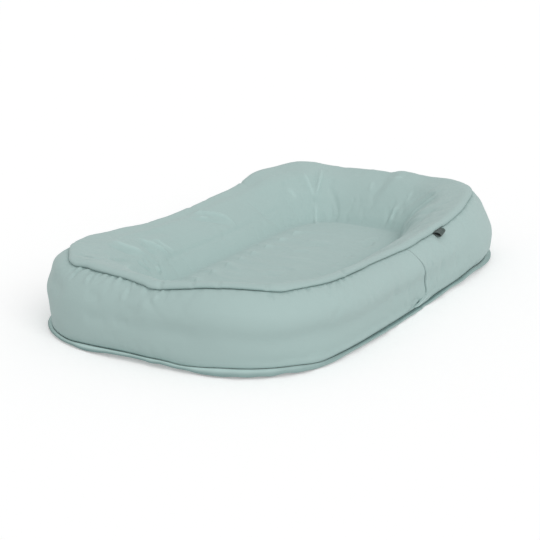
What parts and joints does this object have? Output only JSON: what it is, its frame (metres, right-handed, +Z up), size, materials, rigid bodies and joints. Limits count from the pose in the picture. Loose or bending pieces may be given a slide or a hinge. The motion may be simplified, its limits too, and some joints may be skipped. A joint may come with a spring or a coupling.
{
  "type": "infant lounger",
  "caption": "Low puffed infant lounger: a stuffed ring bolster round a soft sleeping pad, in a sewn cotton cover with a zip in its base.",
  "frame": {"origin": "on the floor, under the middle of the overall box", "axes": "+X along the length to the head end, +Z up; the long side with the loop label is at -Y"},
  "size_m": [0.888, 0.5276, 0.1208],
  "materials": {
    "cover_cotton": "smooth plain-weave cotton, dusty mint",
    "binding_cotton": "the cover's cotton, folded double and topstitched",
    "label_tape": "woven tape, dark green, bare",
    "liner_cloth": "undyed ticking",
    "fibre_filling": "white polyester fibre",
    "zip_tape": "woven tape, mint",
    "zip_coil": "nylon coil, mint",
    "zip_metal": "plain nickel"
  },
  "bodies": {
    "cushion": {"top_panel": "cover_cotton", "side_band_foot": "cover_cotton", "side_band_head": "cover_cotton", "base_panel_near": "cover_cotton", "base_panel_far": "cover_cotton", "edge_binding": "binding_cotton", "loop_label": "label_tape", "bolster_liner_upper": "liner_cloth", "bolster_liner_lower": "liner_cloth", "bolster_filling": "fibre_filling", "pad_liner_upper": "liner_cloth", "pad_liner_lower": "liner_cloth", "pad_filling": "fibre_filling", "zip_tape_near": "zip_tape", "zip_tape_far": "zip_tape", "zip_coil_near": "zip_coil", "zip_coil_far": "zip_coil", "zip_top_stop_near": "zip_metal", "zip_top_stop_far": "zip_metal", "zip_bottom_stop": "zip_metal"},
    "zip_slider": {"zip_slider": "zip_metal"},
    "zip_pull": {"zip_pull": "zip_metal"}
  },
  "joints": [
    {"name": "zip_slide", "type": "slide", "parent": "cushion", "child": "zip_slider", "axis": [-1, 0, 0], "range_m": [0, 0.402]},
    {"name": "pull_hinge", "type": "hinge", "parent": "zip_slider", "child": "zip_pull", "pos_m": [0.201, 0, 0.0036], "axis": [0, -1, 0], "range_deg": [0, 170]}
  ]
}
